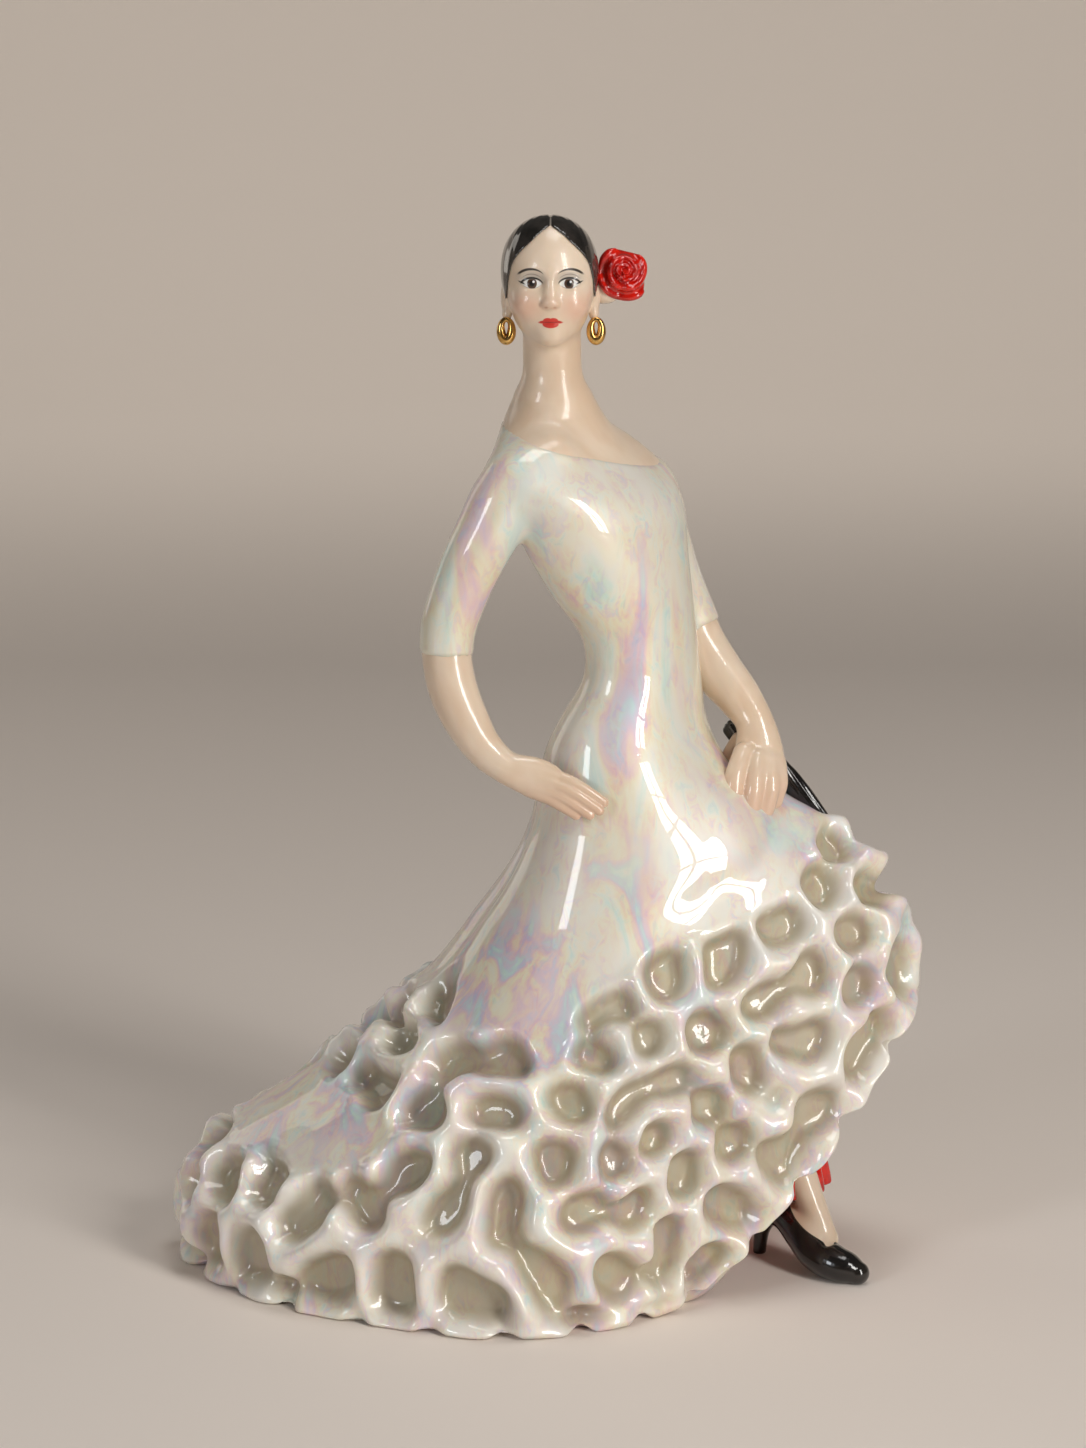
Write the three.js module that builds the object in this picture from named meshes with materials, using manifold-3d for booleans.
// A glazed porcelain flamenco dancer, cast and fired as one piece.
// Her chest is turned to +X and the viewer at -Y, and her face to the viewer. Her right hand rests on her hip.
// The left one holds a closed fan over the lifted side of a flounced skirt, and a leg shows under that side.
// The train trails to -X. Sizes are millimetres, +Z is up and the piece stands on z = 0.
import * as THREE from "three";
import { mergeVertices } from "three/addons/utils/BufferGeometryUtils.js";
import Module from "manifold-3d";

const wasm = await Module();
wasm.setup();

const DEGREE = Math.PI / 180;
const TURN = 2 * Math.PI;
// Moves the model so that the origin is under the middle of its bounding box.
const CENTRE_SHIFT = [-0.93, 0.48, 0];
// The way her chest points, measured from +X towards +Y.
const FACING = -45 * DEGREE;

// Body from the base of the neck down to the hip, one row for each level:
// z, middle x, middle y, half width side to side, half depth to the front, half depth to the back.
const BODICE = [
  [241, 2.8, 3.0, 8.8, 7.8, 7.8],
  [236, 3.0, 2.6, 13.4, 9.6, 9.4],
  [230, 5.4, 1.0, 22.4, 12.0, 11.4],
  [224, 8.2, -1.2, 28.0, 15.0, 13.8],
  [216, 12.2, -2.8, 29.0, 18.4, 15.4],
  [209, 15.2, -3.2, 27.0, 19.0, 16.4],
  [204, 16.2, -3.2, 25.8, 18.8, 16.6],
  [190, 21.0, -3.2, 21.8, 16.2, 15.6],
  [176, 26.4, -3.2, 17.6, 13.0, 13.2],
  [166, 27.0, -3.0, 18.4, 13.4, 13.8],
  [156, 24.8, -2.6, 22.2, 16.2, 16.8],
  [147, 23.8, -2.2, 25.6, 20.2, 20.6],
  [140, 24.6, -2.0, 28.2, 23.6, 23.6],
];
const HIP_LEVEL = 140;

// Guides of the skirt, one row for each direction in degrees from +X towards +Y:
// distance of the hem from the middle, height of the hem, drop and spread of the curve under the hip,
// rise and spread of the curve above the hem, share of the way down at which the flounces begin.
const SKIRT = [
  [-180, 98, 0, 56, 0, 34, 26, 0.33],
  [-158, 85, 0, 54, 1, 30, 23, 0.35],
  [-135, 72, 0, 50, 2, 32, 16, 0.4],
  [-112, 67, 0, 46, 2, 38, 10, 0.46],
  [-90, 65, 0, 45, 2, 42, 8, 0.41],
  [-68, 60, 0, 38, 6, 46, 8, 0.36],
  [-48, 59, 3, 26, 12, 48, 9, 0.36],
  [-30, 70.5, 22, 14, 18, 44, 8, 0.38],
  [-14, 89, 54, 11, 18, 36, 6, 0.35],
  [0, 102, 76, 10, 17, 31, 5, 0.34],
  [14, 92, 54, 11, 18, 36, 6, 0.36],
  [32, 74, 22, 16, 16, 46, 8, 0.4],
  [52, 63, 3, 30, 8, 48, 8, 0.44],
  [80, 61, 0, 44, 2, 42, 8, 0.46],
  [105, 66, 0, 48, 2, 34, 12, 0.44],
  [130, 79, 0, 50, 2, 30, 16, 0.4],
  [155, 92, 0, 54, 1, 31, 20, 0.35],
];

// The train dips under its upper flounces and swells above the hem: direction, half width, depth, first and
// last share.
const TRAIN = { angle: Math.PI, wide: 45 * DEGREE, deep: 4.6, from: 0.24, to: 0.97 };
// A crease down the side of the smooth skirt, behind her right hand: direction, half width, depth, end.
const CREASE = { angle: -170 * DEGREE, wide: 6 * DEGREE, deep: 1.6, until: 0.42 };

// Flounces: hollow pockets with rounded ridges between them, over the lower skirt. The pockets along the hem
// are laid out evenly, and the others are scattered no closer to each other than POCKET_GAP.
const HEM_POCKET_PITCH = 23.5;
const HEM_POCKET_SHARE = 0.9;
const POCKET_GAP = 12.6;
const POCKET_TRIES = 5000;
const ABOVE_FLOUNCES = 0.13;
const RIDGE_RISE = 2.2;
const POCKET_SINK = 2.6;
const RIDGE_REACH = 6.4;
const OPEN_WALLS = 0.2;
const OPEN_WALL_RISE = 0.3;
const HEM_LIFT = 1.6;
// Smooth part of the train between two flounces: middle direction and share, and their half sizes.
const BARE_TRAIN = { angle: 192 * DEGREE, share: 0.6, wide: 34 * DEGREE, high: 0.075 };

const HEM_RIM = 3.2;
// The hollow under the lifted side: its roof over the hem, and the shares of the distance to its wall and foot.
const ROOF = { rim: 5, rise: 12, high: 20, wall: 0.42, foot: 0.4 };

// Points along the dress.
const BODICE_RINGS = 12;
const BODICE_SIDES = 22;
const UPPER_RINGS = 5;
const UPPER_SIDES = 44;
const FLOUNCE_RINGS = 20;
const FLOUNCE_SIDES = [68, 97];
const UNDERSIDE_SIDES = 40;
// The steps round the skirt are even along its outline at this share of the way down.
const EVEN_SHARE = 0.8;
const OUTLINE_STEPS = 360;

// Head, hair, rose and earrings: middle and half sizes.
const HEAD = { at: [2.0, -1.0, 273.2], half: [12.3, 14.2, 17.2] };
const HAIR_BUN = { at: [3.0, 14.5, 270], half: [8.6, 6.4, 8.0] };
const ROSE = { at: [20.6, 3.4, 273.6], half: [7.0, 5.0, 6.9], petals: 5, wave: 0.07 };
const ROSE_BASE = { at: [14.8, 4.0, 270], half: [4.6, 3.4, 3.6] };
const EARS = [-9.8, 13.9].map((x) => ({ at: [x, 1.0, 266.6], half: [2.4, 3.8, 6.2] }));
const EARRING = { x: [-9.6, 14.2], y: -1.6, z: 259.8, across: 2.0, down: 2.9, wire: 1.1 };

// Limbs: x, y, z, half width, half thickness at stations along them.
const NECK = [
  [2.4, 1.0, 266, 7.4, 7.4],
  [2.4, 0.6, 256, 7.8, 7.6],
  [2.5, 0.8, 249, 7.9, 7.6],
  [2.7, 1.6, 242, 8.7, 8.2],
  [3.2, 2.2, 235, 11.0, 9.2],
];
const RIGHT_SLEEVE = [
  [2, -12, 225, 8.5, 8.5],
  [-7.5, -17, 219, 9.2, 9.0],
  [-15.5, -19.5, 206, 8.2, 8.0],
  [-22.0, -19.5, 192, 7.5, 7.4],
  [-25.4, -19.5, 181, 7.1, 7.1],
  [-25.8, -19.6, 175.5, 6.9, 6.9],
];
const RIGHT_FOREARM = [
  [-25.4, -19.4, 182, 6.6, 6.6],
  [-25.7, -19.8, 176, 6.6, 6.6],
  [-24.6, -21.2, 168, 6.6, 6.6],
  [-20.6, -23.6, 158, 6.1, 6.0],
  [-14.8, -26.0, 149.5, 5.0, 4.8],
  [-9.6, -27.4, 145.6, 4.5, 4.2],
  [-4.0, -28.2, 143.6, 5.2, 3.2],
  [1.5, -28.6, 141.4, 4.9, 2.5],
];
const RIGHT_FINGERS = [
  [[-1.5, -28.0, 144.8], [8.0, -29.8, 142.0], [16.2, -30.6, 136.8]],
  [[-2.0, -28.8, 143.0], [7.4, -30.8, 139.8], [15.0, -31.6, 134.8]],
  [[-2.6, -28.6, 141.3], [5.6, -30.8, 138.0], [12.4, -31.6, 133.6]],
  [[-3.0, -28.2, 139.9], [3.4, -30.2, 136.8], [8.8, -30.8, 133.4]],
];
const RIGHT_THUMB = [[-6.0, -25.6, 143.2], [0.0, -23.2, 140.6], [5.0, -21.8, 138.6]];
const LEFT_SLEEVE = [
  [20, 9, 222, 8.0, 8.0],
  [27.6, 14.0, 214, 8.2, 8.0],
  [32.0, 16.5, 202, 7.6, 7.6],
  [36.0, 17.0, 190, 7.2, 7.2],
  [42.0, 15.2, 176.2, 6.9, 6.9],
];
const LEFT_FOREARM = [
  [39.4, 16.0, 183, 6.4, 6.4],
  [43.4, 14.4, 172, 6.8, 6.6],
  [48.2, 11.6, 164.5, 6.8, 6.4],
  [53.8, 8.0, 158, 6.1, 5.5],
  [58.0, 4.4, 151.5, 5.3, 4.8],
  [59.0, 1.6, 146, 6.4, 4.8],
  [58.8, -2.2, 139.4, 7.5, 4.6],
  [58.0, -4.6, 132, 6.8, 4.2],
];
const LEFT_FINGERS = [
  [[54.8, -3.4, 144.5], [51.8, -9.2, 137.2], [51.4, -10.2, 129.2]],
  [[58.4, -4.2, 143.0], [57.2, -9.6, 136.4], [56.0, -10.4, 128.6]],
  [[61.6, -3.6, 142.0], [61.8, -8.0, 136.2], [60.6, -8.6, 130.0]],
  [[63.8, -2.0, 141.0], [64.5, -5.4, 136.6], [63.4, -5.6, 132.0]],
];
const RIGHT_FINGER = { root: 2.1, tip: 1.6 };
const LEFT_FINGER = { root: 2.8, tip: 2.4 };
const FAN = [
  [52.4, 10.4, 149.6, 3.5, 1.8],
  [56.0, 9.4, 146.0, 4.0, 2.1],
  [61.0, 8.2, 141.6, 3.7, 2.2],
  [66.0, 6.8, 136.8, 3.3, 2.4],
  [71.4, 5.4, 130.4, 2.8, 2.3],
  [76.8, 4.0, 123.8, 1.4, 1.4],
];
const LEG = [
  [56, 4, 58, 8.5, 8.5],
  [65.4, 1.0, 40, 6.2, 6.2],
  [71.2, -4.0, 26, 4.7, 4.8],
  [75.0, -9.0, 17, 3.9, 4.4],
  [78.2, -13.6, 9.5, 3.6, 4.0],
];
const SHOE = [
  [64.6, 0.6, 14.6, 4.1, 4.9],
  [68.4, -4.6, 13.0, 4.5, 4.9],
  [72.2, -10.6, 10.2, 5.0, 5.9],
  [76.0, -16.2, 6.3, 5.4, 5.4],
  [80.4, -20.4, 4.7, 5.3, 4.9],
  [84.2, -22.4, 3.8, 4.6, 4.2],
  [86.4, -23.4, 3.0, 3.4, 3.2],
];
const SHOE_HEEL = [
  [63.6, 0.6, 12.5, 3.0, 3.4],
  [61.6, 1.8, 7, 2.2, 2.4],
  [60.9, 2.4, -1, 1.8, 1.9],
];
const PETTICOAT = { at: [50, 2], radius: [28, 23], frills: 14, frill: 1.8 };
// Its profile: share of the radius, height, share of the frill's wave.
const PETTICOAT_RINGS = [
  [0.5, 66, 0],
  [0.72, 46, 0.3],
  [0.9, 35, 0.7],
  [1, 29, 1],
  [0.97, 26, 1],
  [0.7, 26, 0],
];

const GLAZE = new THREE.MeshStandardMaterial({ color: 0xe4e0d6, roughness: 0.12, metalness: 0.0 });

const lerp = THREE.MathUtils.lerp;
const clamp = THREE.MathUtils.clamp;
const smooth = THREE.MathUtils.smoothstep;

// Smooth values at a key between rows [key, value, ...]. With a period the rows close on themselves.
function along(rows, wanted, period = 0) {
  const n = rows.length;
  const first = rows[0][0];
  const rises = rows[1][0] > first;
  const key = period ? first + ((((wanted - first) % period) + period) % period) : wanted;
  const row = (i) => rows[period ? (i + n) % n : clamp(i, 0, n - 1)];
  const at = (i) => row(i)[0] + (period ? Math.floor(i / n) * period : 0);
  let i = 0;
  while (i < n - (period ? 1 : 2) && (rises ? at(i + 1) <= key : at(i + 1) >= key)) i++;
  const here = at(i + 1) - at(i);
  const before = at(i) - at(i - 1) || here;
  const after = at(i + 2) - at(i + 1) || here;
  const t = clamp((key - at(i)) / here, 0, 1);
  return row(i).slice(1).map((_, k) => {
    const [a, b, c, d] = [i - 1, i, i + 1, i + 2].map((j) => row(j)[k + 1]);
    const leave = ((here * (b - a)) / before + (before * (c - b)) / here) / (before + here) * here;
    const meet = ((after * (c - b)) / here + (here * (d - c)) / after) / (here + after) * here;
    const bend = 3 * (c - b) - 2 * leave - meet;
    const twist = 2 * (b - c) + leave + meet;
    return b + t * (leave + t * (bend + t * twist));
  });
}

// The turn from one direction to another, from minus to plus half a circle.
const turnBetween = (from, to) => Math.atan2(Math.sin(to - from), Math.cos(to - from));

// Repeatable scatter from 0 to 1.
function scatter(a, b) {
  const s = Math.sin(a * 12.9898 + b * 78.233) * 43758.5453;
  return s - Math.floor(s);
}

const vector = (p) => new THREE.Vector3(...p);
const ringOf = (count, point) => Array.from({ length: count }, (_, i) => point((i / count) * TURN));

// A point of the bodice at a level and a direction.
function bodicePoint(level, angle) {
  const [x, y, side, front, back] = along(BODICE, level);
  const turn = angle - FACING;
  const out = Math.cos(turn) * (Math.cos(turn) > 0 ? front : back);
  const across = Math.sin(turn) * side;
  const [cos, sin] = [Math.cos(FACING), Math.sin(FACING)];
  return new THREE.Vector3(x + out * cos - across * sin, y + out * sin + across * cos, level);
}

// The skirt before its flounces are modelled. Share 0 is the hip and share 1 the hem.
function plainSkirt(angle, share) {
  const [distance, height, drop, spread, rise, swell] = along(SKIRT, angle / DEGREE, 360);
  const out = new THREE.Vector3(Math.cos(angle), Math.sin(angle), 0);
  const hip = bodicePoint(HIP_LEVEL, angle);
  const hem = out.clone().multiplyScalar(distance).setZ(Math.max(0, height));
  const under = hip.clone().addScaledVector(out, spread).setZ(hip.z - drop);
  const above = hem.clone().addScaledVector(out, swell).setZ(hem.z + rise);
  const near = (place) => Math.exp(-((turnBetween(angle, place.angle) / place.wide) ** 2));
  const crease = CREASE.deep * near(CREASE) * Math.sin(Math.PI * clamp(share / CREASE.until, 0, 1));
  const alongTrain = clamp((share - TRAIN.from) / (TRAIN.to - TRAIN.from), 0, 1);
  const p = new THREE.CubicBezierCurve3(hip, under, above, hem).getPoint(share).addScaledVector(out, -crease);
  return p.setZ(p.z - TRAIN.deep * near(TRAIN) * Math.sin(TURN * alongTrain));
}

function skirtNormal(angle, share) {
  const step = 0.01;
  const middle = clamp(share, step, 1 - step);
  const down = plainSkirt(angle, middle + step).sub(plainSkirt(angle, middle - step));
  const round = plainSkirt(angle + step, middle).sub(plainSkirt(angle - step, middle));
  return down.cross(round).normalize();
}

const flounceTop = (angle) => along(SKIRT, angle / DEGREE, 360)[6];

// Directions that are evenly spaced along the outline of the skirt at one share.
function evenRound(share) {
  const lengths = [0];
  for (let k = 1; k <= OUTLINE_STEPS; k++) {
    const [from, to] = [k - 1, k].map((i) => plainSkirt((i / OUTLINE_STEPS) * TURN, share));
    lengths.push(lengths[k - 1] + from.distanceTo(to));
  }
  const whole = lengths[OUTLINE_STEPS];
  const angleAt = (turn) => {
    const wanted = (turn - Math.floor(turn)) * whole;
    let k = 1;
    while (lengths[k] < wanted) k++;
    return ((k - 1 + (wanted - lengths[k - 1]) / (lengths[k] - lengths[k - 1])) / OUTLINE_STEPS) * TURN;
  };
  return { whole, angleAt };
}
const ROUND = evenRound(EVEN_SHARE);
const HEM_ROUND = evenRound(1);
const HEM_POCKETS = Math.round(HEM_ROUND.whole / HEM_POCKET_PITCH);
const HEM_TURNS = Array.from({ length: HEM_POCKETS }, (_, i) => HEM_ROUND.angleAt((i + 0.5) / HEM_POCKETS));
const HEM_MIDDLES = HEM_TURNS.map((angle) => plainSkirt(angle, 1));

// True for a place that stays smooth: above the flounces, or on the bare part of the train.
function isBare(angle, share) {
  if (share < flounceTop(angle)) return true;
  const off = turnBetween(angle, BARE_TRAIN.angle);
  return (off / BARE_TRAIN.wide) ** 2 + ((share - BARE_TRAIN.share) / BARE_TRAIN.high) ** 2 < 1;
}

function scatterPockets() {
  const pockets = [];
  const add = (angle, share) => pockets.push({ at: plainSkirt(angle, share), bare: isBare(angle, share) });
  for (const angle of HEM_TURNS) add(angle, HEM_POCKET_SHARE);
  for (let k = 0; k < POCKET_TRIES; k++) {
    const angle = ROUND.angleAt(scatter(k, 1));
    const share = lerp(flounceTop(angle) - ABOVE_FLOUNCES, 0.97, scatter(k, 2));
    const p = plainSkirt(angle, share);
    if (pockets.every((pocket) => pocket.at.distanceTo(p) > POCKET_GAP)) add(angle, share);
  }
  return pockets;
}
const POCKETS = scatterPockets();

// Height of the flounces over the plain skirt: ridges where two pockets meet, hollows in their middles.
function flounceHeight(p, toHem) {
  const near = POCKETS.map((pocket, id) => ({ ...pocket, id, far: pocket.at.distanceToSquared(p) }));
  near.sort((a, b) => a.far - b.far);
  const closest = near[0];
  let ridge = 1 - smooth(toHem, 0, RIDGE_REACH);
  for (let i = 0; i < 4; i++) {
    for (let j = i + 1; j < 4; j++) {
      const [a, b] = [near[i], near[j]];
      if (a.bare && b.bare) continue;
      const open = !a.bare && !b.bare && scatter(Math.min(a.id, b.id), Math.max(a.id, b.id)) < OPEN_WALLS;
      const away = (a.far + b.far - 2 * closest.far) / (2 * a.at.distanceTo(b.at));
      ridge = Math.max(ridge, (open ? OPEN_WALL_RISE : 1) * (1 - smooth(away, 0, RIDGE_REACH)));
    }
  }
  const floor = closest.bare ? 0 : -POCKET_SINK;
  return floor + ridge * (RIDGE_RISE - floor);
}

// The hem rises a little between its pockets.
function hemLift(p) {
  const near = HEM_MIDDLES.map((middle) => middle.distanceTo(p)).sort((a, b) => a - b);
  return HEM_LIFT * (1 - smooth(near[1] - near[0], 0, HEM_POCKET_PITCH / 2));
}

function flouncePoint(angle, share) {
  const p = plainSkirt(angle, share);
  const hem = plainSkirt(angle, 1);
  const level = p.z;
  p.addScaledVector(skirtNormal(angle, share), flounceHeight(p, p.distanceTo(hem)));
  if (share === 1) p.z = level + hemLift(hem);
  p.z = Math.max(p.z, 0);
  return p;
}

// Closed body from a stack of rings, which run anticlockwise seen from the first ring's side.
// Neighbouring rings may hold different numbers of points. Between two rings the shorter edges are taken,
// as long as neither ring runs ahead by more than FREE_LEAD steps.
const FREE_LEAD = 1.2;
function skin(rings, first, last) {
  const points = [];
  const faces = [];
  const starts = rings.map((ring) => {
    points.push(...ring);
    return points.length - ring.length;
  });
  for (let r = 0; r + 1 < rings.length; r++) {
    const [a, b] = [rings[r].length, rings[r + 1].length];
    let [i, j] = [0, 0];
    while (i < a || j < b) {
      const [top, low] = [starts[r] + (i % a), starts[r + 1] + (j % b)];
      const [nextTop, nextLow] = [starts[r] + ((i + 1) % a), starts[r + 1] + ((j + 1) % b)];
      const lead = (i + 1) / a - (j + 1) / b;
      const shorter = points[nextTop].distanceTo(points[low]) <= points[top].distanceTo(points[nextLow]);
      const free = Math.abs(lead) < FREE_LEAD / Math.max(a, b);
      if (j >= b || (i < a && (free ? shorter : lead < 0))) {
        i++;
        faces.push(top, low, nextTop);
      } else {
        j++;
        faces.push(top, low, nextLow);
      }
    }
  }
  const close = (r, tip, forward) => {
    const n = rings[r].length;
    const middle = new THREE.Vector3();
    rings[r].forEach((p) => middle.addScaledVector(p, 1 / n));
    points.push(tip || middle);
    for (let i = 0; i < n; i++) {
      const [p, q] = [starts[r] + i, starts[r] + ((i + 1) % n)];
      faces.push(points.length - 1, ...(forward ? [p, q] : [q, p]));
    }
  };
  close(0, first, true);
  close(rings.length - 1, last, false);
  const shape = new THREE.BufferGeometry().setFromPoints(points);
  shape.setIndex(faces);
  return shape;
}

// A limb: elliptical rings square to a smooth path through its stations, with rounded ends.
function limb(stations, sides, rings, thickTowards = [0, -1, 0]) {
  const path = new THREE.CatmullRomCurve3(stations.map((s) => vector(s.slice(0, 3))), false, "centripetal");
  const sizes = stations.map((s, i) => [i, s[3], s[4]]);
  const loops = [];
  const ends = [];
  for (let k = 0; k < rings; k++) {
    const t = k / (rings - 1);
    const [wide, thick] = along(sizes, t * (stations.length - 1));
    const ahead = path.getTangent(t);
    const out = vector(thickTowards);
    out.addScaledVector(ahead, -ahead.dot(out)).normalize();
    const across = out.clone().cross(ahead);
    const cap = k === 0 ? -1 : k === rings - 1 ? 1 : 0;
    const size = cap ? 0.72 : 1;
    loops.push(ringOf(sides, (a) => path.getPoint(t)
      .addScaledVector(across, Math.cos(a) * wide * size)
      .addScaledVector(out, -Math.sin(a) * thick * size)));
    if (cap) ends.push(path.getPoint(t).addScaledVector(ahead, cap * 0.3 * Math.min(wide, thick)));
  }
  return skin(loops, ends[0], ends[1]);
}

function finger(points, size) {
  const last = points.length - 1;
  return limb(points.map((p, i) => [...p, ...Array(2).fill(lerp(size.root, size.tip, i / last))]), 7, 5);
}

function oval({ at, half }, around, down) {
  return new THREE.SphereGeometry(1, around, down).rotateX(90 * DEGREE).scale(...half).translate(...at);
}

function dress() {
  const rings = [];
  for (let k = 0; k < BODICE_RINGS; k++) {
    const level = lerp(BODICE[0][0], HIP_LEVEL, k / BODICE_RINGS);
    rings.push(ringOf(BODICE_SIDES, (a) => bodicePoint(level, a)));
  }
  for (let k = 0; k < UPPER_RINGS; k++) {
    rings.push(ringOf(UPPER_SIDES, (a) => {
      const angle = lerp(a, ROUND.angleAt(a / TURN), k / UPPER_RINGS);
      return plainSkirt(angle, ((flounceTop(angle) - ABOVE_FLOUNCES / 2) * k) / UPPER_RINGS);
    }));
  }
  for (let k = 0; k <= FLOUNCE_RINGS; k++) {
    const count = Math.round(lerp(...FLOUNCE_SIDES, k / FLOUNCE_RINGS));
    const shift = (k % 2) / 2;
    rings.push(ringOf(count, (a) => {
      const turn = a / TURN + shift / count;
      const angle = ROUND.angleAt(turn);
      const start = flounceTop(angle) - ABOVE_FLOUNCES / 2;
      return flouncePoint(angle, lerp(start, 1, k / FLOUNCE_RINGS));
    }));
  }
  // Under the hem: a rim, then the base, which rises to a roof and falls to a wall where the skirt is lifted.
  const under = (reachOf, levelOf) => ringOf(UNDERSIDE_SIDES, (turn) => {
    const a = ROUND.angleAt(turn / TURN);
    const edge = plainSkirt(a, 1);
    const lifted = smooth(edge.z, 2, 36);
    const reach = reachOf(lifted, Math.hypot(edge.x, edge.y));
    return new THREE.Vector3(Math.cos(a) * reach, Math.sin(a) * reach, levelOf(lifted, edge.z));
  });
  rings.push(under((l, r) => r - HEM_RIM, (l, z) => z));
  rings.push(under((l, r) => r - lerp(1.5 * HEM_RIM, ROOF.rim, l), (l, z) => l * (z + ROOF.rise)));
  rings.push(under((l, r) => lerp(r - 2 * HEM_RIM, r * ROOF.wall * 1.3, l), (l, z) => l * (z + ROOF.high)));
  rings.push(under((l, r) => lerp(r - 3 * HEM_RIM, r * ROOF.wall, l), (l, z) => l * z));
  rings.push(under((l, r) => lerp(r - 4 * HEM_RIM, r * ROOF.foot, l), () => 0));
  return skin(rings);
}

function petticoat() {
  const { at, radius, frills, frill } = PETTICOAT;
  return skin(PETTICOAT_RINGS.map(([size, level, wave]) => ringOf(frills * 4, (a) => {
    const more = frill * wave * Math.cos(frills * a);
    const [x, y] = [radius[0] * size + more, radius[1] * size + more];
    return new THREE.Vector3(at[0] + Math.cos(a) * x, at[1] + Math.sin(a) * y, level);
  })));
}

function rose() {
  const bloom = new THREE.SphereGeometry(1, 20, 10);
  const spots = bloom.attributes.position;
  for (let i = 0; i < spots.count; i++) {
    const p = new THREE.Vector3().fromBufferAttribute(spots, i);
    const turn = Math.atan2(p.z, p.x);
    p.multiplyScalar(1 + ROSE.wave * Math.hypot(p.x, p.z) * Math.cos(ROSE.petals * turn));
    spots.setXYZ(i, p.x, p.y, p.z);
  }
  return bloom.scale(...ROSE.half).translate(...ROSE.at);
}

function earring(x) {
  return new THREE.TorusGeometry(1, EARRING.wire / EARRING.down, 5, 10)
    .scale(EARRING.across, EARRING.down, EARRING.wire * 2)
    .rotateX(90 * DEGREE)
    .translate(x, EARRING.y, EARRING.z);
}

function solid(shape) {
  const bare = shape.clone();
  bare.deleteAttribute("normal");
  bare.deleteAttribute("uv");
  const merged = mergeVertices(bare, 1e-4);
  return new wasm.Manifold(new wasm.Mesh({
    numProp: 3,
    vertProperties: new Float32Array(merged.attributes.position.array),
    triVerts: new Uint32Array(merged.index.array),
  }));
}

function geometryOf(body) {
  const mesh = body.getMesh();
  const shape = new THREE.BufferGeometry();
  shape.setAttribute("position", new THREE.BufferAttribute(new Float32Array(mesh.vertProperties), 3));
  shape.setIndex(new THREE.BufferAttribute(new Uint32Array(mesh.triVerts), 1));
  return shape;
}

const pieces = [
  petticoat(),
  limb(NECK, 14, 6),
  oval(HEAD, 18, 12),
  oval(HAIR_BUN, 10, 6),
  rose(),
  oval(ROSE_BASE, 10, 6),
  ...EARS.map((ear) => oval(ear, 8, 6)),
  ...EARRING.x.map(earring),
  limb(RIGHT_SLEEVE, 12, 8),
  limb(RIGHT_FOREARM, 12, 10),
  ...RIGHT_FINGERS.map((points) => finger(points, RIGHT_FINGER)),
  finger(RIGHT_THUMB, RIGHT_FINGER),
  limb(LEFT_SLEEVE, 12, 6),
  limb(LEFT_FOREARM, 12, 9),
  ...LEFT_FINGERS.map((points) => finger(points, LEFT_FINGER)),
  limb(FAN, 6, 5),
  limb(LEG, 10, 6),
  limb(SHOE, 10, 10, [0, 0, -1]),
  limb(SHOE_HEEL, 8, 4),
];

let figure = solid(dress());
for (const piece of pieces) figure = figure.add(solid(piece));
const FLOOR_SIZE = 400;
const FLOOR_DEPTH = 20;
const belowFloor = new THREE.BoxGeometry(FLOOR_SIZE, FLOOR_SIZE, FLOOR_DEPTH).translate(0, 0, -FLOOR_DEPTH / 2);
figure = figure.subtract(solid(belowFloor));

const dancer = new THREE.Mesh(geometryOf(figure).translate(...CENTRE_SHIFT), GLAZE);
dancer.name = "dancer_figurine";

const part = new THREE.Group();
part.add(dancer);
export default part;
